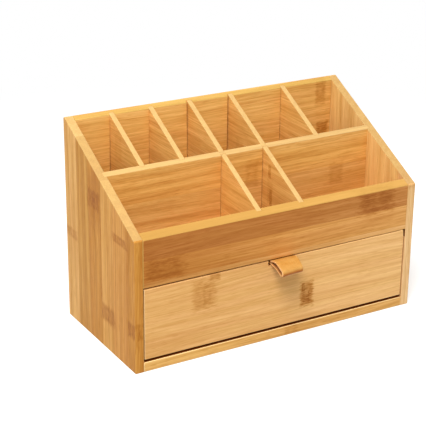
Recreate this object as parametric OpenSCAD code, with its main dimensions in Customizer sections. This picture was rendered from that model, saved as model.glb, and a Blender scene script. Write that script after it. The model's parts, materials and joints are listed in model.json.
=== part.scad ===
// Bamboo bathroom organizer: a case with a sloping top, nine compartments in two rows
// and one drawer with a folded leather pull.
// Millimetres, +Z up, front towards -Y, origin at the middle of the underside.

/* [Case] */
// Width over the two side boards
body_w = 300; // [240:1:380]
// Depth from the front face to the back face
body_d = 140; // [125:1:190]
// Height at the back
back_h = 200; // [170:1:250]
// Height at the front
front_h = 126; // [112:1:150]
// Radius of the two upper corners of a side board and of the back panel's top
corner_r = 2; // [0.5:0.5:3]
// Radius of the two lower corners of a side board
foot_r = 0.5; // [0.2:0.1:1]

/* [Boards] */
// Thickness of the side boards
side_t = 8.5; // [7.5:0.5:12]
// Thickness of the front panel above the drawer
panel_t = 8; // [7:0.5:12]
// Thickness of the back panel
back_t = 7.5; // [7:0.5:12]
// Thickness of the base board
base_t = 9.5; // [8:0.5:14]
// Thickness of the compartment floor
floor_t = 5; // [4:0.5:8]
// Thickness of every upright divider
divider_t = 5; // [4:0.5:7]

/* [Compartments] */
// Clear depth of the front row of compartments
front_row_d = 60.5; // [50:0.5:66]
// Depth of the grooves that house board ends in the outer boards
groove_d = 2.5; // [1.5:0.5:4]
// Depth of the grooves in the middle divider
mid_groove_d = 1.5; // [0.8:0.1:1.6]

/* [Drawer] */
// Height of the drawer front
drawer_front_h = 68; // [60:1:72]
// Thickness of the drawer front
drawer_front_t = 8; // [7:0.5:10]
// Thickness of the drawer's side and back boards
drawer_board_t = 6; // [5:0.5:8]
// Height of the drawer's side boards
drawer_side_h = 58; // [45:1:60]
// Thickness of the drawer bottom
drawer_bottom_t = 3; // [2.5:0.5:5]
// Height of the drawer bottom above the lower edge of the drawer sides
drawer_bottom_lift = 5; // [4.5:0.5:8]
// Depth of the grooves in the drawer boards
drawer_groove_d = 2.5; // [1.5:0.5:3]
// Distance from the drawer back to the rear ends of the drawer sides
drawer_back_inset = 4; // [3:0.5:10]
// Gap between the drawer and each side board when the drawer is centred
drawer_side_gap = 1.1; // [0.8:0.1:2]
// Shift of the drawer to the right of the middle of its bay
drawer_shift = -0.3; // [-0.4:0.1:0.4]
// Gap under the drawer front
drawer_low_gap = 2.5; // [1:0.5:4]
// Gap over the drawer front
drawer_top_gap = 1; // [0.6:0.1:2]
// Gap behind the closed drawer
drawer_rear_gap = 0.5; // [0.4:0.1:3]

/* [Leather pull] */
// Width of the leather strap
tab_w = 25; // [15:1:40]
// Thickness of the leather
leather_t = 2; // [1.4:0.1:2.2]
// How far the folded loop stands out of the drawer front
tab_reach = 24.5; // [18:0.5:32]
// Rise of the loop's upper layer above its height in the notch
tab_rise = 3.2; // [1:0.1:4]
// Drop of the fold's middle below the lower layer in the notch
tab_drop = 0.6; // [0:0.1:3]
// Length of the strap's two tails down the inside of the drawer front
tab_tail = 20; // [16:1:30]
// Space between the strap and each end of its notch
notch_side_gap = 1.3; // [0.5:0.1:3]

/* [Dowels and screws] */
// Diameter of the case dowels
dowel_d = 4; // [3:0.5:4.5]
// Length of a case dowel in a side board
dowel_in_side = 5.5; // [4:0.5:6]
// Length of a case dowel in the end of a panel or the base
dowel_in_end = 12; // [8:1:20]
// Diameter of the drawer dowels
drawer_dowel_d = 3; // [2:0.5:3.5]
// Length of a drawer dowel in the drawer front
drawer_dowel_in_front = 5; // [3:0.5:5.5]
// Length of a drawer dowel in a drawer side
drawer_dowel_in_side = 11; // [8:1:16]
// Diameter of the screws that hold the leather strap
screw_d = 2.5; // [2:0.5:3]
// Diameter of the screw heads
screw_head_d = 5.5; // [4.5:0.5:7]
// Height of the screw heads
screw_head_h = 1.8; // [1.4:0.1:2.5]
// Depth of the screws in the drawer front
screw_grip = 5.5; // [3:0.5:6]

/* [Hidden] */

$fn = 48;

// Clearances
glue_fit = 0.1;
slide_gap = 0.3;
bore_fit = 0.1;
bore_end_gap = 0.5;
cut = 5;

// Places of the dividers, as shares of the clear width between the side boards
rear_divider_shares = [0.132, 0.276, 0.423, 0.583, 0.795];
// Which rear dividers are carried on through the front row
front_lines = [2, 3];

// Places of the dowels, as shares of the board edge that they join
base_dowel_shares = [0.2, 0.8];
panel_dowel_shares = [0.25, 0.7];
back_dowel_shares = [0.14, 0.5, 0.82];
drawer_dowel_shares = [0.3, 0.75];
// Places of the strap's screws, as shares of its width either side of its middle
screw_shares = [-0.28, 0.28];
dowel_chamfer = 0.4;

// Case planes
front_y = -body_d / 2;
back_y = body_d / 2;
outer_x = body_w / 2;
inner_x = outer_x - side_t;
panel_back_y = front_y + panel_t;
mid_front_y = panel_back_y + front_row_d;
mid_back_y = mid_front_y + divider_t;
back_front_y = back_y - back_t;
drawer_z = base_t + drawer_low_gap;
panel_z = drawer_z + drawer_front_h + drawer_top_gap;
floor_top_z = panel_z + floor_t;

// Drawer planes
drawer_mid_x = drawer_shift;
drawer_half_w = inner_x - drawer_side_gap;
drawer_front_back_y = front_y + drawer_front_t;
drawer_end_y = back_front_y - drawer_rear_gap;
drawer_side_z = base_t + slide_gap;
drawer_side_top_z = drawer_side_z + drawer_side_h;
drawer_bottom_z = drawer_side_z + drawer_bottom_lift;
drawer_bottom_top_z = drawer_bottom_z + drawer_bottom_t;
drawer_back_y1 = drawer_end_y - drawer_back_inset;
drawer_back_y0 = drawer_back_y1 - drawer_board_t;
drawer_top_z = drawer_z + drawer_front_h;

// Leather strap: two layers leave the notch, meet in a fold and run down the inside
notch_d = 2 * (leather_t + glue_fit);
notch_z = drawer_top_z - notch_d;
low_layer_z = notch_z + glue_fit + leather_t / 2;
high_layer_z = low_layer_z + leather_t + glue_fit;
near_tail_y = drawer_front_back_y + glue_fit + leather_t / 2;
far_tail_y = near_tail_y + leather_t + glue_fit;
tail_z = notch_z - tab_tail;
bend_r = leather_t * 0.6;
fold_r = leather_t * 1.25;
fold_y = front_y - tab_reach + fold_r + leather_t / 2;
fold_z = low_layer_z - tab_drop;
fold_start = 105;
fold_end = 285;
screw_z = notch_z - tab_tail * 0.6;

bamboo_side = "#d9a866";
bamboo_panel = "#c98f4c";
bamboo_inner = "#dca35a";
bamboo_edge = "#e8b671";
bamboo_pale = "#e6ba7c";
bamboo_dowel = "#e9c48c";
leather_tan = "#e0963f";
steel_grey = "#b9bcc0";

// Height of the sloping top over a place y in the depth
function slope_z(y) = front_h + (y - front_y) * (back_h - front_h) / body_d;

// Outline in depth and height of an upright board whose top lies in the slope
function upright(y0, y1, z0, over = 0) =
    [[y0, z0], [y1, z0], [y1, slope_z(y1) + over], [y0, slope_z(y0) + over]];

// Middle of a divider across the case
function divider_x(i) = -inner_x + rear_divider_shares[i] * 2 * inner_x;

function unit(v) = v / norm(v);
function outward(a, b) = let (d = unit(b - a)) [d[1], -d[0]];

// Centre of the circle of radius r that rounds the corner b between a and c
function corner_centre(a, b, c, r) =
    let (u = unit(a - b), v = unit(c - b)) b + unit(u + v) * r / sin(acos(u * v) / 2);

// A place at share s between two values
function mix(a, b, s) = a + (b - a) * s;

// A convex outline, counter-clockwise, with a radius at each corner and 0 for a sharp one
module rounded(points, radii) {
    n = len(points);
    centres = [for (i = [0 : n - 1])
        corner_centre(points[(i + n - 1) % n], points[i], points[(i + 1) % n], radii[i])];
    polygon([for (i = [0 : n - 1]) each radii[i] == 0 ? [points[i]] : [
        centres[i] + radii[i] * outward(points[(i + n - 1) % n], points[i]),
        centres[i] + radii[i] * outward(points[i], points[(i + 1) % n])]]);
    for (i = [0 : n - 1])
        if (radii[i] > 0)
            translate(centres[i])
                circle(radii[i]);
}

// What is drawn in depth and height becomes a board from x0 to x1 across the case
module across(x0, x1) {
    translate([x0, 0, 0])
        rotate([90, 0, 90])
            linear_extrude(x1 - x0)
                children();
}

// A block between two opposite corners
module block(low, high) {
    translate(low)
        cube(high - low);
}

// A dowel with chamfered ends, standing on the origin
module dowel(d, length) {
    tip_d = d - 2 * dowel_chamfer;
    cylinder(h = dowel_chamfer, d1 = tip_d, d2 = d);
    translate([0, 0, dowel_chamfer])
        cylinder(h = length - 2 * dowel_chamfer, d = d);
    translate([0, 0, length - dowel_chamfer])
        cylinder(h = dowel_chamfer, d1 = d, d2 = tip_d);
}

// Puts its child at each [depth, height] place on the inner face of a side board,
// with the child's +Z pointing into that board; side is -1 for left and 1 for right
module at_side(side, places) {
    for (p = places)
        translate([side * inner_x, p[0], p[1]])
            rotate([0, side * 90, 0])
                children();
}

// Places of the case dowels in depth and height
base_dowels_at = [for (s = base_dowel_shares) [mix(front_y, back_front_y, s), base_t / 2]];
panel_dowels_at = [for (s = panel_dowel_shares)
    [front_y + panel_t / 2, mix(panel_z, front_h, s)]];
back_dowels_at = [for (s = back_dowel_shares) [back_y - back_t / 2, back_h * s]];

// Bores for the case dowels in a side board and in the board that meets it
module case_bores(side, places) {
    at_side(side, places)
        translate([0, 0, -dowel_in_end - bore_end_gap])
            cylinder(h = dowel_in_end + dowel_in_side + 2 * bore_end_gap, d = dowel_d + 2 * bore_fit);
}

module case_dowels(places) {
    for (side = [-1, 1])
        at_side(side, places)
            translate([0, 0, -dowel_in_end])
                dowel(dowel_d, dowel_in_end + dowel_in_side);
}

// One side board, grooved for the compartment floor and the middle divider
module side_board(side) {
    x_in = side * (inner_x + groove_d + glue_fit);
    x_out = side * (inner_x - cut);
    difference() {
        across(side * (inner_x + side_t / 2) - side_t / 2, side * (inner_x + side_t / 2) + side_t / 2)
            rounded(upright(front_y, back_y, 0), [foot_r, foot_r, corner_r, corner_r]);
        block([min(x_in, x_out), panel_back_y, panel_z - glue_fit],
            [max(x_in, x_out), back_front_y, floor_top_z + glue_fit]);
        across(min(x_in, x_out), max(x_in, x_out))
            polygon(upright(mid_front_y - glue_fit, mid_back_y + glue_fit, floor_top_z, cut));
        case_bores(side, base_dowels_at);
        case_bores(side, panel_dowels_at);
        case_bores(side, back_dowels_at);
    }
}

module left_side() {
    color(bamboo_side)
        side_board(-1);
}

module right_side() {
    color(bamboo_side)
        side_board(1);
}

// Back panel between the side boards, grooved for the rear dividers
module back_panel() {
    color(bamboo_inner)
        difference() {
            across(-inner_x, inner_x)
                rounded(upright(back_front_y, back_y, 0), [0, foot_r, corner_r, 0]);
            for (i = [0 : len(rear_divider_shares) - 1])
                across(divider_x(i) - divider_t / 2 - glue_fit, divider_x(i) + divider_t / 2 + glue_fit)
                    polygon(upright(back_front_y - cut, back_front_y + groove_d + glue_fit,
                        floor_top_z - glue_fit, cut));
            for (side = [-1, 1])
                case_bores(side, back_dowels_at);
        }
}

// Front panel over the drawer, grooved for the front dividers
module front_panel() {
    color(bamboo_panel)
        difference() {
            across(-inner_x, inner_x)
                polygon(upright(front_y, panel_back_y, panel_z));
            for (i = front_lines)
                across(divider_x(i) - divider_t / 2 - glue_fit, divider_x(i) + divider_t / 2 + glue_fit)
                    polygon(upright(panel_back_y - groove_d - glue_fit, panel_back_y + cut,
                        floor_top_z - glue_fit, cut));
            for (side = [-1, 1])
                case_bores(side, panel_dowels_at);
        }
}

module base_board() {
    color(bamboo_edge)
        difference() {
            block([-inner_x, front_y, 0], [inner_x, back_front_y, base_t]);
            for (side = [-1, 1])
                case_bores(side, base_dowels_at);
        }
}

module compartment_floor() {
    reach = inner_x + groove_d;
    color(bamboo_inner)
        block([-reach, panel_back_y, panel_z], [reach, back_front_y, floor_top_z]);
}

// Long divider between the two rows, grooved on both faces for the short ones
module middle_divider() {
    reach = inner_x + groove_d;
    color(bamboo_inner)
        difference() {
            across(-reach, reach)
                polygon(upright(mid_front_y, mid_back_y, floor_top_z));
            for (i = [0 : len(rear_divider_shares) - 1])
                across(divider_x(i) - divider_t / 2 - glue_fit, divider_x(i) + divider_t / 2 + glue_fit)
                    polygon(upright(mid_back_y - mid_groove_d - glue_fit, mid_back_y + cut,
                        floor_top_z - cut, cut));
            for (i = front_lines)
                across(divider_x(i) - divider_t / 2 - glue_fit, divider_x(i) + divider_t / 2 + glue_fit)
                    polygon(upright(mid_front_y - cut, mid_front_y + mid_groove_d + glue_fit,
                        floor_top_z - cut, cut));
        }
}

// Short divider i of the rear row
module rear_divider(i) {
    color(bamboo_inner)
        across(divider_x(i) - divider_t / 2, divider_x(i) + divider_t / 2)
            polygon(upright(mid_back_y - mid_groove_d, back_front_y + groove_d, floor_top_z));
}

// Short divider of the front row, in line with rear divider i
module front_divider(i) {
    color(bamboo_inner)
        across(divider_x(i) - divider_t / 2, divider_x(i) + divider_t / 2)
            polygon(upright(panel_back_y - groove_d, mid_front_y + mid_groove_d, floor_top_z));
}

module base_dowels() {
    color(bamboo_dowel)
        case_dowels(base_dowels_at);
}

module front_panel_dowels() {
    color(bamboo_dowel)
        case_dowels(panel_dowels_at);
}

module back_panel_dowels() {
    color(bamboo_dowel)
        case_dowels(back_dowels_at);
}

// Puts its child, pointing backwards, at each drawer dowel on the back of the drawer front
module at_drawer_dowels(side) {
    for (s = drawer_dowel_shares)
        translate([drawer_mid_x + side * (drawer_half_w - drawer_board_t / 2), drawer_front_back_y,
            mix(drawer_z, drawer_side_top_z, s)])
            rotate([-90, 0, 0])
                children();
}

module drawer_bores(side) {
    at_drawer_dowels(side)
        translate([0, 0, -drawer_dowel_in_front - bore_end_gap])
            cylinder(h = drawer_dowel_in_front + drawer_dowel_in_side + 2 * bore_end_gap,
                d = drawer_dowel_d + 2 * bore_fit);
}

// Puts its child, pointing backwards, at each screw on the back of the drawer front
module at_screws() {
    for (s = screw_shares)
        translate([s * tab_w, drawer_front_back_y, screw_z])
            rotate([-90, 0, 0])
                children();
}

// Drawer front with the notch for the leather pull and the groove for the bottom
module drawer_front() {
    notch_half_w = tab_w / 2 + notch_side_gap;
    color(bamboo_pale)
        difference() {
            block([drawer_mid_x - drawer_half_w, front_y, drawer_z],
                [drawer_mid_x + drawer_half_w, drawer_front_back_y, drawer_top_z]);
            block([-notch_half_w, front_y - cut, notch_z],
                [notch_half_w, drawer_front_back_y + cut, drawer_top_z + cut]);
            block([drawer_mid_x - drawer_half_w + drawer_board_t - drawer_groove_d - glue_fit,
                    drawer_front_back_y - drawer_groove_d - glue_fit, drawer_bottom_z - glue_fit],
                [drawer_mid_x + drawer_half_w - drawer_board_t + drawer_groove_d + glue_fit,
                    drawer_front_back_y + cut, drawer_bottom_top_z + glue_fit]);
            for (side = [-1, 1])
                drawer_bores(side);
            at_screws()
                translate([0, 0, -screw_grip - bore_end_gap])
                    cylinder(h = screw_grip + bore_end_gap + cut, d = screw_d + 2 * bore_fit);
        }
}

// One drawer side, grooved for the bottom and the drawer back
module drawer_side(side) {
    x_face = drawer_mid_x + side * (drawer_half_w - drawer_board_t);
    x_far = drawer_mid_x + side * drawer_half_w;
    x_in = x_face + side * (drawer_groove_d + glue_fit);
    x_out = x_face - side * cut;
    difference() {
        block([min(x_face, x_far), drawer_front_back_y, drawer_side_z],
            [max(x_face, x_far), drawer_end_y, drawer_side_top_z]);
        block([min(x_in, x_out), drawer_front_back_y - cut, drawer_bottom_z - glue_fit],
            [max(x_in, x_out), drawer_end_y + cut, drawer_bottom_top_z + glue_fit]);
        block([min(x_in, x_out), drawer_back_y0 - glue_fit, drawer_bottom_z],
            [max(x_in, x_out), drawer_back_y1 + glue_fit, drawer_side_top_z + cut]);
        drawer_bores(side);
    }
}

module drawer_left_side() {
    color(bamboo_inner)
        drawer_side(-1);
}

module drawer_right_side() {
    color(bamboo_inner)
        drawer_side(1);
}

// Half the width of the drawer's back and bottom, tongues included
drawer_inner_half_w = drawer_half_w - drawer_board_t + drawer_groove_d;

module drawer_back() {
    color(bamboo_inner)
        block([drawer_mid_x - drawer_inner_half_w, drawer_back_y0, drawer_bottom_top_z + glue_fit],
            [drawer_mid_x + drawer_inner_half_w, drawer_back_y1, drawer_side_top_z]);
}

// Drawer bottom, pushed in from behind under the drawer back
module drawer_bottom() {
    color(bamboo_pale)
        block([drawer_mid_x - drawer_inner_half_w, drawer_front_back_y - drawer_groove_d,
                drawer_bottom_z],
            [drawer_mid_x + drawer_inner_half_w, drawer_end_y, drawer_bottom_top_z]);
}

module drawer_dowels() {
    color(bamboo_dowel)
        for (side = [-1, 1])
            at_drawer_dowels(side)
                translate([0, 0, -drawer_dowel_in_front])
                    dowel(drawer_dowel_d, drawer_dowel_in_front + drawer_dowel_in_side);
}

// Points of a cubic curve from a to d, pulled towards b and c
function curve(a, b, c, d, steps) = [for (i = [0 : steps])
    let (t = i / steps, s = 1 - t) a * s * s * s + b * 3 * s * s * t + c * 3 * s * t * t + d * t * t * t];

// Points of an arc about c, from angle a0 to angle a1
function arc(c, r, a0, a1, steps) = [for (i = [0 : steps])
    let (a = mix(a0, a1, i / steps)) c + r * [cos(a), sin(a)]];

// Point of the fold's middle line at an angle about the fold's middle
function on_fold(a) = [fold_y + fold_r * cos(a), fold_z + fold_r * sin(a)];

// Middle line of the leather strap in depth and height, from the far tail over the
// notch to the fold and back along the lower layer to the near tail
strap_line = concat(
    [[far_tail_y, tail_z]],
    arc([far_tail_y - bend_r - leather_t - glue_fit, high_layer_z - bend_r - leather_t - glue_fit],
        bend_r + leather_t + glue_fit, 0, 90, 6),
    curve([front_y, high_layer_z],
        [front_y - tab_reach * 0.27, high_layer_z + tab_rise * 1.6],
        on_fold(fold_start) + tab_reach * 0.36 * [sin(fold_start), -cos(fold_start)],
        on_fold(fold_start), 10),
    arc([fold_y, fold_z], fold_r, fold_start + 15, fold_end - 15, 8),
    curve(on_fold(fold_end),
        on_fold(fold_end) + tab_reach * 0.3 * [-sin(fold_end), cos(fold_end)],
        [front_y - tab_reach * 0.3, low_layer_z + tab_rise * 0.2],
        [front_y, low_layer_z], 8),
    arc([near_tail_y - bend_r, low_layer_z - bend_r], bend_r, 90, 0, 5),
    [[near_tail_y, tail_z]]);

// A line moved sideways by off, square to its own direction
function beside(line, off) = let (n = len(line)) [for (i = [0 : n - 1])
    let (d = unit(line[min(i + 1, n - 1)] - line[max(i - 1, 0)])) line[i] + off * [-d[1], d[0]]];

function reversed(line) = [for (i = [len(line) - 1 : -1 : 0]) line[i]];

// One leather strap folded into a loop, its two tails screwed behind the drawer front
module pull_tab() {
    color(leather_tan)
        difference() {
            across(-tab_w / 2, tab_w / 2)
                polygon(concat(beside(strap_line, leather_t / 2),
                    reversed(beside(strap_line, -leather_t / 2))));
            at_screws()
                translate([0, 0, -cut])
                    cylinder(h = 2 * leather_t + 2 * cut, d = screw_d + 2 * bore_fit);
        }
}

// One pan-head screw; its head seats on z = 0 and its shank runs down
module screw(length) {
    tip_h = screw_d;
    slot_w = screw_head_d * 0.16;
    slot_h = screw_head_h * 0.5;
    difference() {
        union() {
            cylinder(h = screw_head_h / 2, d = screw_head_d);
            translate([0, 0, screw_head_h / 2])
                cylinder(h = screw_head_h / 2, d1 = screw_head_d, d2 = screw_head_d * 0.7);
            translate([0, 0, tip_h - length])
                cylinder(h = length - tip_h, d = screw_d);
            translate([0, 0, -length])
                cylinder(h = tip_h, d1 = screw_d * 0.2, d2 = screw_d);
        }
        for (turn = [0, 90])
            rotate([0, 0, turn])
                translate([-screw_head_d * 0.28, -slot_w / 2, screw_head_h - slot_h])
                    cube([screw_head_d * 0.56, slot_w, slot_h + cut]);
    }
}

// The two screws through both tails of the strap into the drawer front
module tab_screws() {
    stack = 2 * (leather_t + glue_fit);
    color(steel_grey)
        at_screws()
            translate([0, 0, stack + glue_fit])
                screw(stack + screw_grip);
}

left_side();
right_side();
back_panel();
front_panel();
base_board();
compartment_floor();
middle_divider();
rear_divider(0);  // rear_divider_1
rear_divider(1);  // rear_divider_2
rear_divider(2);  // rear_divider_3
rear_divider(3);  // rear_divider_4
rear_divider(4);  // rear_divider_5
front_divider(front_lines[0]);  // front_divider_1
front_divider(front_lines[1]);  // front_divider_2
base_dowels();
front_panel_dowels();
back_panel_dowels();
drawer_front();
drawer_left_side();
drawer_right_side();
drawer_back();
drawer_bottom();
drawer_dowels();
pull_tab();
tab_screws();
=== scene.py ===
import json
import math

import bmesh
import bpy
from mathutils import Matrix, Vector


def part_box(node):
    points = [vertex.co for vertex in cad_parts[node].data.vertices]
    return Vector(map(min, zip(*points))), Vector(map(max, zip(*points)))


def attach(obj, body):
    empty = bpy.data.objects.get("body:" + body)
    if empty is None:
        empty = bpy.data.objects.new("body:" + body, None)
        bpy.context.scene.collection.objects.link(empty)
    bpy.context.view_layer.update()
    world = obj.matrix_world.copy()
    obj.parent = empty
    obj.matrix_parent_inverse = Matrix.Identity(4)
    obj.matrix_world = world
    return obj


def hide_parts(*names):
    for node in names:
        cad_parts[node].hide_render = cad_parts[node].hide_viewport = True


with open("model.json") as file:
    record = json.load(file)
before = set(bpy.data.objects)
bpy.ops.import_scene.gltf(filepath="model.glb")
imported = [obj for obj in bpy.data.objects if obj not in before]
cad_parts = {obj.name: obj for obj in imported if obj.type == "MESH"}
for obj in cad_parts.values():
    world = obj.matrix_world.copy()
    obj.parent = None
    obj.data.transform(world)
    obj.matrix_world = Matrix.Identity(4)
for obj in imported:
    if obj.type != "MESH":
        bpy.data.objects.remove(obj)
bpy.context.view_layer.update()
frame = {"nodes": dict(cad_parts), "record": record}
MM = 0.001

# Side boards: two boards of laminated bamboo with upright strips and the case's slope cut along
# their tops. They are sanded to a small round on each arris and lacquered satin. Their rims are paler,
# partly sanded wood and partly painted highlight, their arrises carry a painted highlight, and a band
# of their inner faces carries painted shade in the gap beside the drawer's top. The other boards sit
# between them in grooves and on dowels.
ARRIS = 0.5 * MM
CORNER_REACH = 1.1 * MM
WELD = 0.001 * MM
NEAR = 0.2 * MM
FLAT_ANGLE = math.radians(0.5)
ARRIS_ANGLE = math.radians(30)
# Shares of the paler colour: on the sloping rims partly sanded wood and partly painted highlight, on the
# arrises a painted highlight, faint on the arrises that are picked as dim.
RIM_SANDING_AND_HIGHLIGHT = 0.6
ARRIS_HIGHLIGHT = 0.6
DIM_ARRIS_HIGHLIGHT = 0.1
# Height of the band of painted shade on the side boards' inner faces, in the gap beside the drawer's
# top.
SHADE_BAND_HEIGHT = 8 * MM

case_left, case_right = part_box("left_side")[0].x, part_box("right_side")[1].x
panel_low, panel_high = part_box("front_panel")
middle_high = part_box("middle_divider")[1]
rise = (middle_high.z - panel_high.z) / (middle_high.y - panel_high.y)
SLOPE_NORMAL = Vector((0, -rise, 1)).normalized()
INNER_FACE_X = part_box("right_side")[0].x
SHADE_FROM_Y = panel_low.y + ARRIS
SHADE_FROM_Z = panel_low.z - SHADE_BAND_HEIGHT
SHADE_TO_Z = panel_low.z


def slope_z(y):
    """Height of the case's sloping top over a place in its depth."""
    return panel_high.z + (y - panel_high.y) * rise


def faces_met(point, low, high):
    """The outer faces of a board that a point lies in, rounded corners included."""
    met = {(axis, end) for axis in range(3) for end, limit in enumerate((low, high))
           if abs(point[axis] - limit[axis]) < CORNER_REACH}
    if abs(point.z - slope_z(point.y)) < CORNER_REACH:
        met.add("slope")
    return met


def make_board(node, material, body="case", arris=ARRIS, also=None, reshape=None, dim_arris=None,
               finish=None):
    """A CAD board with its triangles merged and its arrises rounded: also picks further edges to
    round, dim_arris picks the arrises that get only a faint painted highlight, reshape works on the
    sharp board and finish on the rounded one. The sloping rims and the rounded arrises are marked
    paler: painted highlight, on the rims partly sanded wood."""
    low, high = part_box(node)
    board = bmesh.new()
    board.from_mesh(frame["nodes"][node].data)
    bmesh.ops.remove_doubles(board, verts=board.verts, dist=WELD)
    bmesh.ops.dissolve_limit(board, angle_limit=FLAT_ANGLE, verts=board.verts, edges=board.edges)
    if reshape:
        reshape(board)
    arrises = []
    for edge in board.edges:
        ends = [faces_met(v.co, low, high) for v in edge.verts]
        outer = len(ends[0] & ends[1]) > 1 or (also and also(edge))
        if outer and edge.calc_face_angle(0) > ARRIS_ANGLE:
            arrises.append(edge)
    # The sloping rims and the rounded arrises are marked paler: painted highlight, on the rims partly
    # sanded wood.
    sanding_and_highlight = board.faces.layers.float.new("sanding_and_highlight")
    for face in board.faces:
        if face.normal.dot(SLOPE_NORMAL) > 0.999:
            face[sanding_and_highlight] = RIM_SANDING_AND_HIGHLIGHT
    rounded = bmesh.ops.bevel(board, geom=arrises, offset=arris, offset_type="OFFSET", affect="EDGES",
                              segments=3, profile=0.5, material=-1, clamp_overlap=True)
    for face in rounded["faces"]:
        face.smooth = True
        face[sanding_and_highlight] = DIM_ARRIS_HIGHLIGHT if dim_arris and dim_arris(face.calc_center_median()) else ARRIS_HIGHLIGHT
    if finish:
        finish(board)
    mesh = bpy.data.meshes.new(node + "_board")
    board.to_mesh(mesh)
    board.free()
    mesh.materials.append(material)
    piece = bpy.data.objects.new(node + "_board", mesh)
    bpy.context.scene.collection.objects.link(piece)
    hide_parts(node)
    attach(piece, body)
    return piece


def linear(code):
    """Linear colour of an sRGB hex code."""
    parts = [int(code[i:i + 2], 16) / 255 for i in (1, 3, 5)]
    return [p / 12.92 if p <= 0.04045 else ((p + 0.055) / 1.055) ** 2.4 for p in parts] + [1]


def add_node(material, kind, inputs=None, **settings):
    """Adds a shader node with its settings and links, and returns its outputs."""
    made = material.node_tree.nodes.new("ShaderNode" + kind)
    for name, value in settings.items():
        setattr(made, name, value)
    for key, value in (inputs or {}).items():
        if isinstance(value, bpy.types.NodeSocket):
            material.node_tree.links.new(value, made.inputs[key])
        else:
            made.inputs[key].default_value = value
    return made.outputs


def bare_material(name):
    """A node material with nothing in it yet."""
    material = bpy.data.materials.new(name)
    material.use_nodes = True
    material.node_tree.nodes.clear()
    return material


# Laminated bamboo is strips 20 to 25 mm wide, glued edge to edge. Each strip has its own shade, fine
# close fibres that sweep slowly across it, short darker fibre bundles, and every 200 mm or so a node:
# a brown band across it where the cane was jointed, darkest at its outline. The sloping rims are paler,
# partly sanded wood and partly painted highlight, the arrises carry a painted highlight, and the gaps
# round the drawer and the strap's notch carry painted shade in brown. The lacquer is thin and satin,
# and reflects less than a full coat.
STRIP_W = 24.6 * MM
TONES = {"cream": "#fbd9a6", "straw": "#fed598", "butter": "#ffd68d", "sand": "#f3cf8c",
         "flax": "#f6cb87", "corn": "#f0c378", "honey": "#eebe70", "ginger": "#f1bd78",
         "wheat": "#e9bc75", "gold": "#ebbb6e", "amber": "#e7b267", "biscuit": "#dcab5d",
         "toffee": "#d9a251", "caramel": "#d9a062"}
FIBRE_STAIN = "#b39165"
# Painted shade: the brown that the gaps round the drawer and the strap's notch are multiplied by.
SHADE_BROWN = "#8a5a2a"
NODE_SPACING = 210 * MM
NODE_HALF = 7 * MM
SWEEP = 12 * MM
BEND_LENGTH_MM = 200
BEND_WIDTH_MM = 1000 / 12


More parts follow.
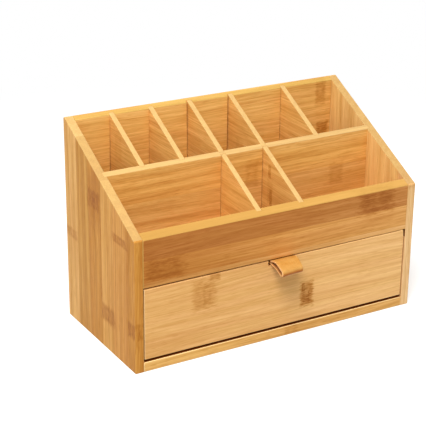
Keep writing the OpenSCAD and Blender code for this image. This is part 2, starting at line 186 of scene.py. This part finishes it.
def bamboo(name, grain, across, start, strips, marks=(), nodes_show=0.5, seed=0.0, contrast=1.0,
           pale="#c6aa73", left_darker=0.0, strip_w=STRIP_W):
    """Strips run along the grain axis and lie side by side from start on; marks are nodes seen in the
    photograph: place along, place across, half length, half width and strength; pale is the paler colour
    of the rims and arrises, painted highlight and on the rims partly sanded wood, and left_darker is how
    much browner the board is at the start of its grain."""
    material = bare_material(name)
    third = ({"X", "Y", "Z"} - {grain, across}).pop()
    coordinates = add_node(material, "TexCoord")
    xyz = add_node(material, "SeparateXYZ", {0: coordinates["Object"]})
    lay = add_node(material, "CombineXYZ", {0: xyz[grain], 1: xyz[across], 2: xyz[third]})[0]

    # Which strip a point is in, and its luck of the draw
    place = add_node(material, "MapRange", {0: xyz[across], 1: start, 2: start + len(strips) * strip_w,
                                            3: 0.0, 4: float(len(strips))})[0]
    number = add_node(material, "Math", {0: place}, operation="FLOOR")[0]
    luck = add_node(material, "TexWhiteNoise", {"W": add_node(material, "Math", {
        0: number, 1: seed + 0.5}, operation="ADD")[0]}, noise_dimensions="1D")
    share = add_node(material, "Math", {0: place, 1: float(len(strips))}, operation="DIVIDE")[0]
    tone = add_node(material, "ValToRGB", {0: share})[0]
    ramp = tone.node.color_ramp
    ramp.interpolation = "CONSTANT"
    for i, strip in enumerate(strips):
        stop = ramp.elements[0] if i == 0 else ramp.elements.new(i / len(strips))
        stop.color = linear(TONES[strip])
    ramp.elements.remove(ramp.elements[-1])

    # Fibres sweep slowly across a strip and don't carry on from strip to strip
    shuffled = add_node(material, "VectorMath", {0: lay, 1: luck["Color"]}, operation="ADD")[0]
    bends = add_node(material, "Mapping", {0: shuffled, "Scale": (
        1000 / BEND_LENGTH_MM, 1000 / BEND_WIDTH_MM, 1000 / BEND_WIDTH_MM)})[0]
    sweep = add_node(material, "TexNoise", {"Vector": bends, "Scale": 1.0, "Detail": 0.0})["Color"]
    grown = add_node(material, "VectorMath", {0: sweep, 1: (0, SWEEP, SWEEP), 2: shuffled},
                     operation="MULTIPLY_ADD")[0]

    def fibre_pattern(length_mm, width_mm, detail):
        """Noise whose features are that long along the grain and that wide across it."""
        scaled = add_node(material, "Mapping", {0: grown, "Scale": (
            1000 / length_mm, 1000 / width_mm, 1000 / width_mm)})[0]
        return add_node(material, "TexNoise", {"Vector": scaled, "Scale": 1.0, "Detail": detail})["Fac"]

    streaks = add_node(material, "MapRange", {0: fibre_pattern(160, 6, 2.0), 1: 0.35, 2: 0.7})[0]
    stripes = add_node(material, "MapRange", {0: fibre_pattern(140, 1.6, 1.0), 1: 0.35, 2: 0.65})[0]
    fibres = add_node(material, "MapRange", {0: fibre_pattern(30, 0.9, 2.0), 1: 0.35, 2: 0.7})[0]
    bundles = add_node(material, "MapRange", {0: fibre_pattern(10, 0.8, 0.0), 1: 0.6, 2: 0.72})[0]
    hue = add_node(material, "MapRange", {0: fibre_pattern(120, 8, 1.0), 1: 0.35, 2: 0.65})[0]

    # Nodes: one band per strip at a chance place, then those that the photograph shows
    ragged = add_node(material, "MapRange", {0: fibre_pattern(7, 1.6, 2.0), 1: 0.3, 2: 0.7,
                                             3: -0.18, 4: 0.18})[0]

    def node_band(reach, strength):
        """Brown inside a reach of 1, with a darker outline, and strength times that in all."""
        rough_reach = add_node(material, "Math", {0: reach, 1: 0.8, 2: ragged},
                               operation="MULTIPLY_ADD")[0]
        shown = add_node(material, "ValToRGB", {0: rough_reach})[0]
        shown.node.color_ramp.interpolation = "EASE"
        stops = shown.node.color_ramp.elements
        stops[0].color = (0.6, 0.6, 0.6, 1)
        stops[1].color = (0, 0, 0, 1)
        stops.new(0.5).color = (1, 1, 1, 1)
        return add_node(material, "Math", {0: shown, 1: strength}, operation="MULTIPLY")[0]

    phase = add_node(material, "Math", {0: xyz[grain], 1: 1 / NODE_SPACING, 2: luck["Value"]},
                     operation="MULTIPLY_ADD")[0]
    phase = add_node(material, "Math", {0: phase}, operation="FRACT")[0]
    away = add_node(material, "Math", {0: phase, 1: 0.5}, operation="SUBTRACT")[0]
    away = add_node(material, "Math", {0: away}, operation="ABSOLUTE")[0]
    away = add_node(material, "Math", {0: away, 1: NODE_SPACING / NODE_HALF}, operation="MULTIPLY")[0]
    dark = node_band(away, nodes_show)
    for along, over, half_length, half_width, strength in marks:
        offset = add_node(material, "VectorMath", {0: lay, 1: (along * MM, over * MM, 0)},
                          operation="SUBTRACT")[0]
        offset = add_node(material, "VectorMath", {0: offset, 1: (
            1 / (half_length * MM), 1 / (half_width * MM), 0)}, operation="MULTIPLY")[0]
        offset = add_node(material, "VectorMath", {0: offset}, operation="ABSOLUTE")[0]
        sides = add_node(material, "SeparateXYZ", {0: offset})
        reach = add_node(material, "Math", {0: sides[0], 1: sides[1], 2: 0.3}, operation="SMOOTH_MAX")[0]
        band = node_band(reach, strength)
        dark = add_node(material, "Math", {0: dark, 1: band}, operation="MAXIMUM")[0]
    scribble = add_node(material, "MapRange", {0: fibre_pattern(5, 1.2, 2.0), 1: 0.38, 2: 0.62,
                                               3: 0.55, 4: 1.15})[0]
    dark = add_node(material, "Math", {0: dark, 1: scribble}, operation="MULTIPLY")[0]

    # How brown a point is: the fibres, the nodes, and a slow fading along the board
    depth = add_node(material, "MapRange", {0: xyz[grain], 1: case_left, 2: case_right,
                                            3: left_darker, 4: 0.0})[0]
    depth = add_node(material, "Math", {0: depth, 1: dark}, operation="ADD")[0]
    for pattern, weight in ((streaks, 0.24), (stripes, 0.17), (fibres, 0.15), (bundles, 0.12)):
        depth = add_node(material, "Math", {0: pattern, 1: weight * contrast, 2: depth},
                         operation="MULTIPLY_ADD")[0]
    tint = add_node(material, "Mix", {0: hue, 6: linear("#fff7f2"), 7: linear("#fffaf0")},
                    data_type="RGBA")[2]
    tone = add_node(material, "Mix", {0: 1.0, 6: tone, 7: tint}, data_type="RGBA",
                    blend_type="MULTIPLY")[2]
    stain = add_node(material, "Gamma", {"Color": linear(FIBRE_STAIN), "Gamma": depth})[0]
    colour = add_node(material, "Mix", {0: 1.0, 6: tone, 7: stain}, data_type="RGBA",
                      blend_type="MULTIPLY")[2]
    # Rims and arrises mix toward pale: painted highlight, on the rims partly sanded wood.
    sanding_and_highlight = add_node(material, "Attribute", attribute_name="sanding_and_highlight")["Fac"]
    colour = add_node(material, "Mix", {0: sanding_and_highlight, 6: colour, 7: linear(pale)}, data_type="RGBA")[2]
    # Painted shade: faces in the gaps round the drawer and in the notch are multiplied toward a dark
    # brown.
    painted_shade = add_node(material, "Attribute", attribute_name="painted_shade")["Fac"]
    colour = add_node(material, "Mix", {0: painted_shade, 6: colour, 7: linear(SHADE_BROWN)},
                      data_type="RGBA", blend_type="MULTIPLY")[2]

    # Fibres stand a little above the wood between them, and the lacquer is duller on them
    relief = add_node(material, "Math", {0: fibres, 1: bundles}, operation="ADD")[0]
    bump = add_node(material, "Bump", {"Strength": 0.25, "Distance": 0.12 * MM, "Height": relief},
                    invert=True)[0]
    gloss = add_node(material, "MapRange", {0: fibres, 3: 0.46, 4: 0.58})[0]
    surface = add_node(material, "BsdfPrincipled", {
        "Base Color": colour, "Roughness": gloss, "IOR": 1.48, "Specular IOR Level": 0.12,
        "Normal": bump})[0]
    add_node(material, "OutputMaterial", {"Surface": surface})
    return material


def mark_painted_shade(board, is_dark):
    """Marks the faces of a board that is_dark picks for painted shade, in gaps and in the notch."""
    painted_shade = board.faces.layers.float.new("painted_shade")
    for face in board.faces:
        face[painted_shade] = is_dark(face.calc_center_median(), face.normal)


def part_faces(board, place, across):
    """Parts a board's faces along a plane, without opening the board."""
    bmesh.ops.bisect_plane(board, geom=board.verts[:] + board.edges[:] + board.faces[:],
                           dist=WELD, plane_co=place, plane_no=across)


def beside_drawer(place, normal):
    """Whether a side board's face is in the band of painted shade in the gap beside the drawer's top."""
    inner = abs(normal.x) > 0.99 and abs(place.x) < INNER_FACE_X + NEAR
    return inner and place.y > SHADE_FROM_Y and SHADE_FROM_Z < place.z < SHADE_TO_Z


def order_faces(board):
    """Puts faces in the order of their first edges: parted after the bevel, theirs is chance."""
    board.verts.index_update()
    count = len(board.verts)
    board.faces.sort(key=lambda face: face.verts[0].index * count + face.verts[1].index)


def shade_beside_drawer(board):
    """Marks a band of a side board's inner face beside the drawer's top for painted shade; it starts
    just behind the front arris.
    """
    part_faces(board, (0, SHADE_FROM_Y, 0), (0, 1, 0))
    part_faces(board, (0, 0, SHADE_FROM_Z), (0, 0, 1))
    part_faces(board, (0, 0, SHADE_TO_Z), (0, 0, 1))
    order_faces(board)
    mark_painted_shade(board, beside_drawer)


left_marks = [(138.5, 9, 9.5, 13, 0.5), (138, 9, 3, 3, 0.6), (139, 9, 26, 12.5, 0.12),
              (100, -3, 60, 1.8, 0.3), (35.5, -17, 8, 13, 0.55), (117, -42, 4, 13, 0.45),
              (40, -63, 7, 6.5, 0.55), (89, 58, 5, 12, 0.3)]
make_board("left_side", bamboo(
    "left_side_bamboo", "Z", "Y", -78.6 * MM, ["toffee", "amber", "gold", "toffee", "biscuit", "flax"],
    left_marks, nodes_show=0.0, seed=3, contrast=1.15, pale="#c0a36b"),
    dim_arris=lambda place: place.x < case_left + MM and place.y < panel_low.y + MM,
    finish=shade_beside_drawer)
make_board("right_side", bamboo(
    "right_side_bamboo", "Z", "Y", -78.6 * MM, ["cream", "sand", "sand", "sand", "sand", "sand"],
    nodes_show=0.2, seed=11, pale="#b28e57"),
    dim_arris=lambda place: place.y < panel_low.y + MM, finish=shade_beside_drawer)

# Base board: one bamboo board between the side boards, with its strips across the case, flush with
# their front edges. It is glued on two dowels at each end. The drawer slides on its top, which carries
# painted shade so that the gap under the drawer front reads dark.
base_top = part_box("base_board")[1].z


def on_base_top(place, normal):
    """Whether a face is in the base board's top."""
    return normal.z > 0.99 and place.z > base_top - NEAR


# The base's top gets painted shade, for the gap under the drawer front.
make_board("base_board", bamboo(
    "base_bamboo", "X", "Y", -73 * MM, ["butter", "corn", "honey", "corn", "honey", "honey"],
    nodes_show=0.2, seed=21, contrast=1.1, pale="#fbdca0"), arris=0.8 * MM,
    reshape=lambda board: mark_painted_shade(board, on_base_top))

# Compartment floor: a thinner bamboo board over the drawer, housed in grooves in the side boards.
# It is the bottom of every compartment and the ceiling of the drawer's bay.
inner_bamboo = bamboo(
    "inner_bamboo", "X", "Y", -73 * MM, ["corn", "honey", "corn", "corn", "honey", "corn"], seed=31)
make_board("compartment_floor", inner_bamboo, arris=0.3 * MM)

# Front panel: the upper front board, of caramel bamboo: a brown strip at the top, a lighter one
# below it and the edge of a pale one along its foot. Its top follows the slope, and it is glued on
# two dowels at each end.
panel_marks = [(105, 116.5, 20, 12, 0.45), (-121, 96, 19, 10, 0.4)]
make_board("front_panel", bamboo(
    "panel_bamboo", "X", "Z", 65.2 * MM, ["straw", "ginger", "caramel", "caramel"], panel_marks,
    nodes_show=0.0, seed=40, pale="#cba353", left_darker=0.5, strip_w=20.3 * MM))

# Back panel: the tallest board across the case, grooved for the rear dividers. The grooves are sawn
# a little wider than the dividers and not quite true, which leaves a dark line beside each one.
back_face_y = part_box("back_panel")[0].y
REAR_GAPS = {"rear_divider_1": (0.0, 1.9), "rear_divider_2": (0.0, 0.8), "rear_divider_3": (1.3, 0.0),
             "rear_divider_4": (1.2, 1.9), "rear_divider_5": (0.3, 0.8)}
GROOVE_DEPTH = 3 * MM


def widen_grooves(board, face_y, gaps):
    """Moves the left wall of each divider's groove away by a gap at its top and one at its foot."""
    for node, (top_gap, foot_gap) in gaps.items():
        low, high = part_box(node)
        for vert in board.verts:
            in_wall = abs(vert.co.x - low.x) < NEAR and abs(vert.co.y - face_y) < GROOVE_DEPTH
            if in_wall and vert.co.z > low.z - MM:
                rising = (vert.co.z - low.z) / (high.z - low.z)
                vert.co.x -= (foot_gap + (top_gap - foot_gap) * rising) * MM


back_marks = [(128.5, 185, 6, 13, 0.37), (132, 146.5, 6.5, 6.5, 0.65)]
make_board("back_panel", bamboo(
    "back_bamboo", "X", "Z", 3 * MM,
    ["honey", "corn", "honey", "corn", "honey", "honey", "corn", "corn"], back_marks,
    nodes_show=0.0, seed=51, pale="#bb994b"),
    reshape=lambda board: widen_grooves(board, back_face_y, REAR_GAPS))

# Middle divider: a thin board across the whole case between the two rows of compartments, let into
# the side boards and grooved on both faces for the short dividers.
middle_face_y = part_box("middle_divider")[0].y
FRONT_GAPS = {"front_divider_1": (0.3, 0.5), "front_divider_2": (0.5, 0.7)}
middle_marks = [(106, 122, 8, 11, 0.2), (9, 139, 7, 13, 0.2), (-104, 140, 34, 20, 0.1)]
make_board("middle_divider", bamboo(
    "middle_bamboo", "X", "Z", 82 * MM, ["wheat", "wheat", "honey", "corn"], middle_marks,
    nodes_show=0.0, seed=61), arris=0.3 * MM,
    reshape=lambda board: widen_grooves(board, middle_face_y, FRONT_GAPS))

# Short dividers: thin boards with their strips running from front to back, glued in the grooves of
# the boards before and behind them.
short_dividers = [node for node in frame["record"]["behaviour"]["bodies"]["case"]
                  if node.startswith(("rear_divider", "front_divider"))]
divider_marks = {"front_divider_2": [(-15, 122, 4.5, 13, 0.15), (-16.5, 117, 2.2, 8, 0.6),
                                     (-13.5, 142, 2.2, 6, 0.45)]}
for i, node in enumerate(short_dividers):
    strips = ["corn", "honey", "corn", "corn", "corn"] if node.startswith("rear") else ["corn"] * 5
    make_board(node, bamboo(
        node + "_bamboo", "Y", "Z", 82 * MM, strips, divider_marks.get(node, []),
        nodes_show=0.1, seed=71 + 1.3 * i), arris=0.3 * MM)

# Dowels: plain turned beech pins, glued blind in bores where boards meet. Beech is pale and a little
# pink, with darker flecks about 17 mm long and 1 mm wide along the pin, and it is left bare and dull.
FLECK_LENGTH_MM = 1000 / 60
FLECK_WIDTH_MM = 1000 / 900
beech = bare_material("beech_dowel")
beech_place = add_node(beech, "TexCoord")["Object"]
beech_grain = add_node(beech, "Mapping", {0: beech_place, "Scale": (
    1000 / FLECK_LENGTH_MM, 1000 / FLECK_WIDTH_MM, 1000 / FLECK_WIDTH_MM)})[0]
beech_flecks = add_node(beech, "TexNoise", {"Vector": beech_grain, "Scale": 1.0, "Detail": 2.0})["Fac"]
beech_colour = add_node(beech, "Mix", {0: beech_flecks, 6: linear("#e7c493"), 7: linear("#c99a66")},
                        data_type="RGBA")[2]
beech_wood = add_node(beech, "BsdfPrincipled", {"Base Color": beech_colour, "Roughness": 0.65})[0]
add_node(beech, "OutputMaterial", {"Surface": beech_wood})
for node in ("base_dowels", "front_panel_dowels", "back_panel_dowels", "drawer_dowels"):
    frame["nodes"][node].material_slots[0].material = beech

# Drawer front: a pale bamboo board, flush in the case's front, with a notch in its top edge for the
# strap, whose faces carry painted shade. Two nodes show on it as brown bands. It is planed to fit by
# hand, so the gaps round it aren't quite even.
drawer_low, drawer_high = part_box("drawer_front")
RIGHT_CUT = 0.3 * MM
CORNER_CUT = 0.75 * MM
CORNER_Z = drawer_high.z - 8 * MM
TOP_TILT = 0.5 / 140
TOP_CUT = 0.1 * MM
NOTCH_HALF_W = 15 * MM
NOTCH_DEPTH = 5 * MM
# Arrises of the drawer front to the right of this get only a faint painted highlight.
DIM_ARRIS_FROM_X = -110 * MM


def shape_drawer_front(board):
    """Marks the notch's faces for painted shade, and planes the right end, most at its top corner, and
    the top edge a little more to the left."""
    mark_painted_shade(board, in_notch)
    part_faces(board, (0, 0, CORNER_Z), (0, 0, 1))
    for vert in board.verts:
        at_top = vert.co.z > drawer_high.z - MM
        if at_top:
            vert.co.z += TOP_TILT * vert.co.x - TOP_CUT
        if vert.co.x > drawer_high.x - MM:
            vert.co.x -= RIGHT_CUT + (CORNER_CUT if at_top else 0)


def in_front_face(edge):
    """An edge of the drawer front's front face, the notch's edges included."""
    return all(abs(v.co.y - drawer_low.y) < NEAR for v in edge.verts)


# Mask for the painted shade on the notch's faces.
def in_notch(place, normal):
    """Whether a face of the drawer front is in its notch, whichever way it looks."""
    within = abs(place.x) < NOTCH_HALF_W and drawer_low.y + MM < place.y < drawer_high.y - MM
    return within and place.z > drawer_high.z - NOTCH_DEPTH


drawer_marks = [(29.3, 38, 7, 12.4, 0.75), (29, 33, 5, 5, 1.0), (25.3, 45, 2, 5, 1.0),
                (33, 38.5, 2, 2.2, 1.0), (-80.5, 61.5, 12, 14.5, 0.3), (-78, 61, 5, 13, 0.4),
                (-70, 77, 5.5, 3.5, 0.45)]
make_board("drawer_front", bamboo(
    "drawer_front_bamboo", "X", "Z", 1.4 * MM, ["straw"] * 4, drawer_marks, nodes_show=0.0,
    seed=81, contrast=0.7, pale="#fbdca6", left_darker=0.2), "drawer",
    arris=0.8 * MM, also=in_front_face, reshape=shape_drawer_front,
    dim_arris=lambda place: place.x > DIM_ARRIS_FROM_X)

# Drawer box: two sides on dowels in the drawer front, a back let into the sides, and a thin bottom
# in grooves all round. All are bamboo with the strips along each board.
drawer_side_bamboo = bamboo(
    "drawer_side_bamboo", "Y", "Z", 9.8 * MM, ["honey", "gold", "honey"], seed=91)
for node in ("drawer_left_side", "drawer_right_side"):
    make_board(node, drawer_side_bamboo, "drawer", arris=0.4 * MM)
make_board("drawer_back", bamboo(
    "drawer_back_bamboo", "X", "Z", 17 * MM, ["gold", "honey", "honey"], seed=101),
    "drawer", arris=0.4 * MM)
make_board("drawer_bottom", bamboo(
    "drawer_bottom_bamboo", "X", "Y", -66 * MM, ["honey", "straw", "honey", "honey", "straw", "honey"],
    seed=111), "drawer", arris=0.3 * MM)

# Leather pull: one strap of tan leather 2 mm thick, folded into a loop. Both tails pass through the
# notch and run down the inside of the drawer front, where two screws hold them. The cut edges are
# pale, and the flesh side inside the loop is rough.
LEATHER_T = 2 * MM
STRAP_FIT = 0.1 * MM
strap_low, strap_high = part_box("pull_tab")
strap_w = strap_high.x - strap_low.x
low_layer = drawer_high.z - 1.5 * LEATHER_T - STRAP_FIT
high_layer = low_layer + LEATHER_T + STRAP_FIT
near_tail = drawer_high.y + STRAP_FIT + LEATHER_T / 2
far_tail = near_tail + LEATHER_T + STRAP_FIT
near_bend = 1.2 * MM
far_bend = near_bend + LEATHER_T + STRAP_FIT
fold_r = 2.5 * MM
fold_y = strap_low.y + fold_r + LEATHER_T / 2
fold_z = low_layer - 0.6 * MM
hump_y = drawer_low.y - 10.2 * MM
hump_rise = 2.65 * MM
under_y = drawer_low.y - 10.3 * MM


def arc_pull(radius, degrees):
    """Length of the handles with which a cubic curve follows an arc."""
    return radius * 4 / 3 * math.tan(math.radians(degrees) / 4)


def on_fold(degrees):
    """Depth and height of a place on the fold's middle line, and the strap's direction there."""
    turn = math.radians(degrees)
    return (fold_y + fold_r * math.cos(turn), fold_z + fold_r * math.sin(turn),
            -math.sin(turn), math.cos(turn))


# Depth, height, direction and the pull of the handles before and after each knot of the line
near_pull, far_pull = arc_pull(near_bend, 90), arc_pull(far_bend, 90)
fold_pull = arc_pull(fold_r, 90)
strap_knots = [
    (far_tail, strap_low.z, 0, 1, MM, MM),
    (far_tail, high_layer - far_bend, 0, 1, MM, far_pull),
    (far_tail - far_bend, high_layer, -1, 0, far_pull, MM),
    (drawer_low.y + 0.5 * MM, high_layer + 0.1 * MM, -0.95, 0.3, 2 * MM, 2 * MM),
    (hump_y, high_layer + hump_rise, -1, -0.12, 4.4 * MM, 4 * MM),
    (*on_fold(105), 3 * MM, fold_pull),
    (*on_fold(195), fold_pull, fold_pull),
    (*on_fold(285), fold_pull, 3 * MM),
    (under_y, low_layer - 0.55 * MM, 1, 0.17, 3.5 * MM, 3.5 * MM),
    (drawer_low.y, low_layer, 1, 0, 3 * MM, MM),
    (near_tail - near_bend, low_layer, 1, 0, MM, near_pull),
    (near_tail, low_layer - near_bend, 0, -1, near_pull, MM),
    (near_tail, strap_low.z, 0, -1, MM, MM)]
strap_line = bpy.data.curves.new("pull_strap", "CURVE")
strap_line.dimensions = "2D"
strap_line.fill_mode = "NONE"
strap_line.resolution_u = 10
strap_line.extrude = strap_w / 2
spline = strap_line.splines.new("BEZIER")
spline.bezier_points.add(len(strap_knots) - 1)
for knot, (y, z, dy, dz, before, after) in zip(spline.bezier_points, strap_knots):
    knot.handle_left_type = knot.handle_right_type = "FREE"
    knot.co = (y, z, 0)
    knot.handle_left = (y - dy * before, z - dz * before, 0)
    knot.handle_right = (y + dy * after, z + dz * after, 0)
strap_curve = bpy.data.objects.new("strap_curve", strap_line)
strap_mesh = bpy.data.meshes.new_from_object(strap_curve)
bpy.data.objects.remove(strap_curve)
strap = bmesh.new()
strap.from_mesh(strap_mesh)
depth_height_to_place = Matrix(((0, 0, 1, 0), (1, 0, 0, 0), (0, 1, 0, 0), (0, 0, 0, 1)))
bmesh.ops.transform(strap, matrix=depth_height_to_place, verts=strap.verts)
bmesh.ops.remove_doubles(strap, verts=strap.verts, dist=0.01 * MM)
across_edges = [e for e in strap.edges if abs(e.verts[0].co.x - e.verts[1].co.x) > strap_w / 2]
bmesh.ops.subdivide_edges(strap, edges=across_edges, cuts=7, use_grid_fill=True)
bmesh.ops.recalc_face_normals(strap, faces=strap.faces)

# The strap crowns a little across its width. It is fixed to the right of the middle, and in front of
# the drawer it leans to the left, narrows and turns its right edge back.
CROWN = 0.25 * MM
CROWN_FROM = 10 * MM
SIDE_SHIFT = 1.0 * MM
SKEW_SHARE = 0.11
TAPER_SHARE = 0.09
TURN_SHARE = 0.08
for vert in strap.verts:
    out = max(drawer_low.y - vert.co.y, 0)
    rightness = 0.5 + vert.co.x / strap_w
    vert.co.z -= CROWN * min(out / CROWN_FROM, 1) * (2 * vert.co.x / strap_w) ** 2
    vert.co.x += SIDE_SHIFT - (SKEW_SHARE + TAPER_SHARE * rightness) * out
    vert.co.y += TURN_SHARE * rightness * out
for face in strap.faces:
    face.smooth = True
strap.to_mesh(strap_mesh)
strap.free()
pull = bpy.data.objects.new("pull_strap", strap_mesh)
bpy.context.scene.collection.objects.link(pull)
thick = pull.modifiers.new("thickness", "SOLIDIFY")
thick.thickness = LEATHER_T
thick.offset = 0
thick.material_offset = 1
thick.material_offset_rim = 2
burnish = pull.modifiers.new("burnished_edges", "BEVEL")
burnish.width = 0.45 * MM
burnish.segments = 3
burnish.limit_method = "ANGLE"
burnish.angle_limit = math.radians(50)

# Tan strap leather: grain side smooth with fine pores and a waxy finish, flesh side napped, and cut
# edges lighter where the hide shows.
CLOUD_MM = 6.25
# Painted shade on the strap, multiplied in where it lies in the notch and under its front fold.
LEATHER_SHADE_TAN = "#ebbb6c"


def leather(name, light, deep, pore_mm, roughness, relief, fold_shade_strength=0.0):
    """Leather with painted shade where it lies in the notch, and fold_shade_strength of painted shade at
    the foot of its fold.
    """
    material = bare_material(name)
    place = add_node(material, "TexCoord")["Object"]
    clouds = add_node(material, "TexNoise", {"Vector": place, "Scale": 1000 / CLOUD_MM,
                                             "Detail": 3.0})["Fac"]
    pores = add_node(material, "TexVoronoi", {"Vector": place, "Scale": 1000 / pore_mm},
                     feature="DISTANCE_TO_EDGE")["Distance"]
    creases = add_node(material, "MapRange", {0: pores, 1: 0.0, 2: 0.12})[0]
    cloudy = add_node(material, "MapRange", {0: clouds, 1: 0.3, 2: 0.7})[0]
    tinted = add_node(material, "Mix", {0: cloudy, 6: linear(deep), 7: linear(light)},
                      data_type="RGBA")[2]
    lined = add_node(material, "MapRange", {0: creases, 3: 0.82, 4: 1.0})[0]
    colour = add_node(material, "Mix", {0: 1.0, 6: tinted, 7: lined}, data_type="RGBA",
                      blend_type="MULTIPLY")[2]
    xyz = add_node(material, "SeparateXYZ", {0: place})
    # Painted shade: darker going into the notch, and at the foot of the fold.
    notch_shade_share = add_node(material, "MapRange", {
        0: xyz["Y"], 1: drawer_low.y - 0.5 * MM, 2: drawer_low.y + 1.5 * MM})[0]
    fold_shade = add_node(material, "MapRange", {
        0: xyz["Z"], 1: fold_z + 1.2 * MM, 2: fold_z - 0.8 * MM, 4: fold_shade_strength})[0]
    leather_shade = add_node(material, "Math", {0: notch_shade_share, 1: fold_shade}, operation="MAXIMUM")[0]
    colour = add_node(material, "Mix", {0: leather_shade, 6: colour, 7: linear(LEATHER_SHADE_TAN)},
                      data_type="RGBA", blend_type="MULTIPLY")[2]
    bump = add_node(material, "Bump", {"Strength": relief, "Distance": 0.1 * MM, "Height": creases})[0]
    hide = add_node(material, "BsdfPrincipled", {
        "Base Color": colour, "Roughness": roughness, "Specular IOR Level": 0.25, "Normal": bump})[0]
    add_node(material, "OutputMaterial", {"Surface": hide})
    return material


strap_mesh.materials.append(leather("leather_grain_side", "#d29b4f", "#c58839", 0.8, 0.5, 0.25, 1.0))
strap_mesh.materials.append(leather("leather_flesh_side", "#b5743a", "#9a5e2c", 0.5, 0.9, 0.6))
strap_mesh.materials.append(leather("leather_cut_edge", "#f7c588", "#e8aa66", 0.4, 0.7, 0.4))
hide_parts("pull_tab")
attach(pull, "drawer")

# Strap screws: two small zinc-plated pan-head screws behind the drawer front, driven through both
# tails of the strap. The plating is pale and bluish, half matt, and a little blotched.
BLOTCH_MM = 0.4
steel = bare_material("zinc_plated_steel")
steel_place = add_node(steel, "TexCoord")["Object"]
steel_lay = add_node(steel, "TexNoise", {"Vector": steel_place, "Scale": 1000 / BLOTCH_MM,
                                         "Detail": 2.0})["Fac"]
steel_rough = add_node(steel, "MapRange", {0: steel_lay, 1: 0.3, 2: 0.7, 3: 0.28, 4: 0.42})[0]
plating = add_node(steel, "BsdfPrincipled", {
    "Base Color": linear("#c3c5c8"), "Metallic": 1.0, "Roughness": steel_rough})[0]
add_node(steel, "OutputMaterial", {"Surface": plating})
frame["nodes"]["tab_screws"].material_slots[0].material = steel

# Studio: a pale floor that keeps the soft shadow, a white surround, a large soft lamp in front on
# the left and a second above. What is seen directly or in a gloss is white, and lights nothing.
def seen_rays(material):
    """1 for what the eye meets directly, in a reflection or through glass."""
    path = add_node(material, "LightPath")
    seen = add_node(material, "Math", {0: path["Is Camera Ray"], 1: path["Is Glossy Ray"]},
                    operation="MAXIMUM")[0]
    return add_node(material, "Math", {0: seen, 1: path["Is Transmission Ray"]}, operation="MAXIMUM")[0]


world = bpy.data.worlds.new("surround")
bpy.context.scene.world = world
world.use_nodes = True
world.node_tree.nodes.clear()
level = add_node(world, "MapRange", {0: seen_rays(world), 3: 0.8, 4: 1.0})[0]
sky = add_node(world, "Background", {"Color": (1, 1, 1, 1), "Strength": level})[0]
add_node(world, "OutputWorld", {"Surface": sky})

FLOOR_HALF = 6.0
SHADOW_REACH = 0.35
WHITE_FROM = 0.8
floor_mesh = bpy.data.meshes.new("floor")
floor_form = bmesh.new()
bmesh.ops.create_grid(floor_form, x_segments=1, y_segments=1, size=FLOOR_HALF)
floor_form.to_mesh(floor_mesh)
floor_form.free()
floor = bpy.data.objects.new("floor", floor_mesh)
bpy.context.scene.collection.objects.link(floor)
paper = bare_material("pale_floor")
shadowed = add_node(paper, "BsdfDiffuse", {"Color": (0.9, 0.9, 0.9, 1)})[0]
lift = add_node(paper, "Emission", {"Color": (1, 1, 1, 1), "Strength": 0.2})[0]
lifted = add_node(paper, "AddShader", {0: shadowed, 1: lift})[0]
white = add_node(paper, "Emission", {"Color": (1, 1, 1, 1), "Strength": 1.0})[0]
floor_place = add_node(paper, "TexCoord")["Object"]
away = add_node(paper, "VectorMath", {0: floor_place}, operation="LENGTH")["Value"]
away = add_node(paper, "MapRange", {0: away, 1: SHADOW_REACH, 2: WHITE_FROM},
                interpolation_type="SMOOTHSTEP")[0]
seen_floor = add_node(paper, "MixShader", {0: away, 1: lifted, 2: white})[0]
bounce = add_node(paper, "BsdfDiffuse", {"Color": (0.3, 0.3, 0.3, 1)})[0]
pale = add_node(paper, "MixShader", {0: seen_rays(paper), 1: bounce, 2: seen_floor})[0]
add_node(paper, "OutputMaterial", {"Surface": pale})
floor_mesh.materials.append(paper)

CENTRE = Vector((0, 0, 0.09))


def toward(azimuth, elevation):
    """Direction from the object at an azimuth from its front and a height above the horizon."""
    a, e = math.radians(azimuth), math.radians(elevation)
    return Vector((math.sin(a) * math.cos(e), -math.cos(a) * math.cos(e), math.sin(e)))


for name, azimuth, elevation, distance, size, power in (
        ("key", -41, 52, 1.6, 0.65, 21.7), ("left", -90, 48, 1.5, 0.9, 2.1)):
    light = bpy.data.lights.new(name, "AREA")
    light.size = size
    light.energy = power
    lamp = bpy.data.objects.new(name, light)
    lamp.location = CENTRE + toward(azimuth, elevation) * distance
    lamp.rotation_mode = "QUATERNION"
    lamp.rotation_quaternion = toward(azimuth, elevation).to_track_quat("Z", "Y")
    bpy.context.scene.collection.objects.link(lamp)

# Camera: a long lens from the front left and a little above, as in the photograph. It has no shift
# and no depth of field.
CAMERA_AIM = Vector((-0.0319, 0, 0.1062))
CAMERA_DISTANCE = 1.2582
CAMERA_AZIMUTH = -30.33
CAMERA_ELEVATION = 21.65
CAMERA_ROLL = math.radians(0.6)
camera_data = bpy.data.cameras.new("camera")
camera_data.sensor_width = 36
camera_data.lens = 113.75
camera = bpy.data.objects.new("camera", camera_data)
camera_back = toward(CAMERA_AZIMUTH, CAMERA_ELEVATION)
camera.location = CAMERA_AIM + camera_back * CAMERA_DISTANCE
camera.rotation_mode = "QUATERNION"
level_view = camera_back.to_track_quat("Z", "Y")
camera.rotation_quaternion = level_view @ Matrix.Rotation(CAMERA_ROLL, 3, "Z").to_quaternion()
bpy.context.scene.collection.objects.link(camera)
bpy.context.scene.camera = camera
bpy.context.scene.view_settings.view_transform = "Standard"
